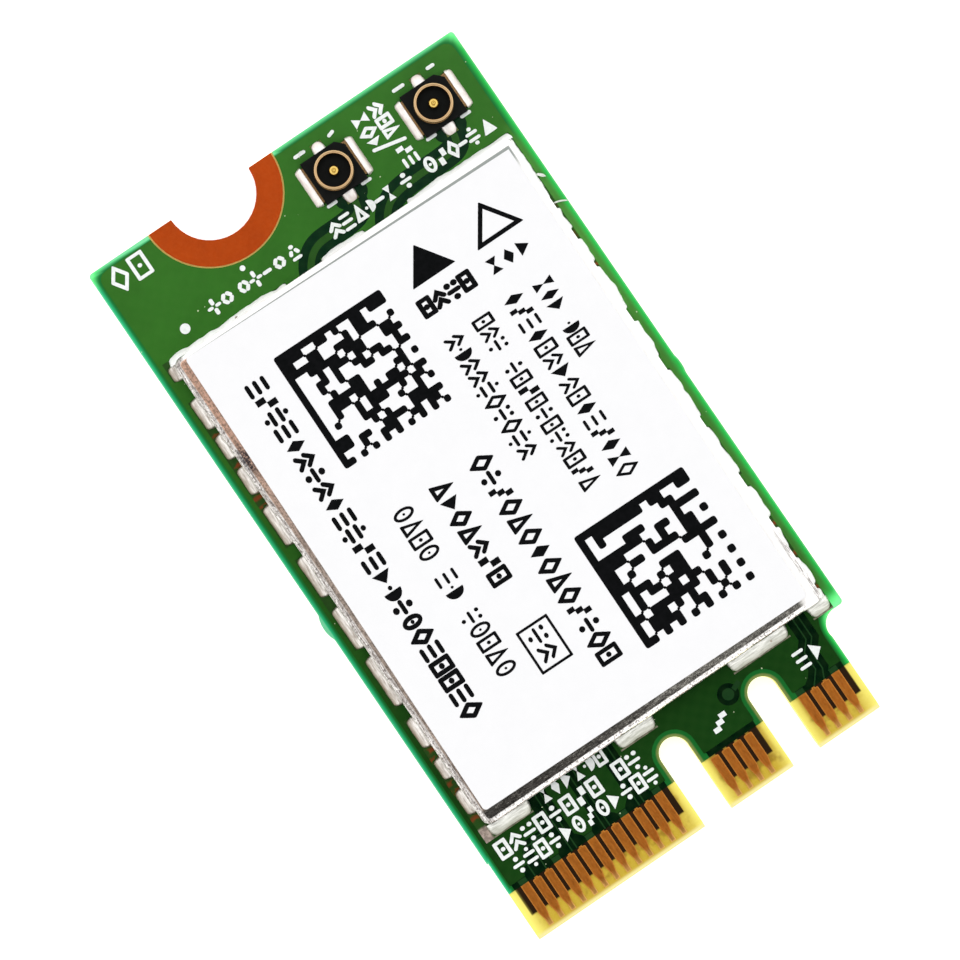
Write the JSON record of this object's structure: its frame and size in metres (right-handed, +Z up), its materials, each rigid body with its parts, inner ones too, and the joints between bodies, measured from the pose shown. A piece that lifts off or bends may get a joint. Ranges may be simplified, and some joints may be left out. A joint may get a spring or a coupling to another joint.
{
  "type": "laptop wireless network card",
  "caption": "Slim plug-in wireless card with keyed edge contacts, a labelled shield can, two push-on antenna sockets and a half-round screw notch.",
  "frame": {"origin": "on the axis of the half-round screw notch, at the underside of the board", "axes": "+Z up out of the parts side, +Y out of the mounting end along the card, +X across the card towards contact 1"},
  "size_m": [0.0166, 0.03, 0.0022],
  "materials": {
    "laminate": "translucent glass-epoxy, sawn edges",
    "green_mask": "glossy coat over copper and traces",
    "contact_gold": "thin gold plating, slightly worn",
    "bare_copper": "bare copper, satin",
    "pad_copper": "bare copper darkened by flux",
    "solder": "bright reflowed solder",
    "can_sheet": "brushed tinned sheet",
    "label_paper": "matt white with black print",
    "socket_moulding": "black moulding",
    "socket_gold": "gold-plated stamping",
    "pin_gold": "bright gold plating",
    "chip_moulding": "matt black moulding",
    "crystal_lid": "plain metal lid on ceramic",
    "filter_ceramic": "matt ceramic with tinned ends",
    "ferrite": "grey ferrite with tinned ends",
    "capacitor_ceramic": "tan ceramic with tinned ends",
    "resistor_body": "black film on ceramic, tinned ends"
  },
  "bodies": {
    "root": {"board_laminate": "laminate", "solder_mask_top": "green_mask", "solder_mask_bottom": "green_mask", "contacts_top": "contact_gold", "contacts_bottom": "contact_gold", "mounting_land": "bare_copper", "shield_pads": "pad_copper", "shield_solder": "solder", "shield_can": "can_sheet", "label": "label_paper", "main_socket_base": "socket_moulding", "main_socket_shell": "socket_gold", "main_socket_pin": "pin_gold", "aux_socket_base": "socket_moulding", "aux_socket_shell": "socket_gold", "aux_socket_pin": "pin_gold", "socket_solder": "solder", "radio_chip": "chip_moulding", "clock_crystal": "crystal_lid", "main_front_end": "chip_moulding", "aux_front_end": "chip_moulding", "band_filters": "filter_ceramic", "memory_chip": "chip_moulding", "power_inductor": "ferrite", "capacitors": "capacitor_ceramic", "resistors": "resistor_body"}
  },
  "joints": []
}
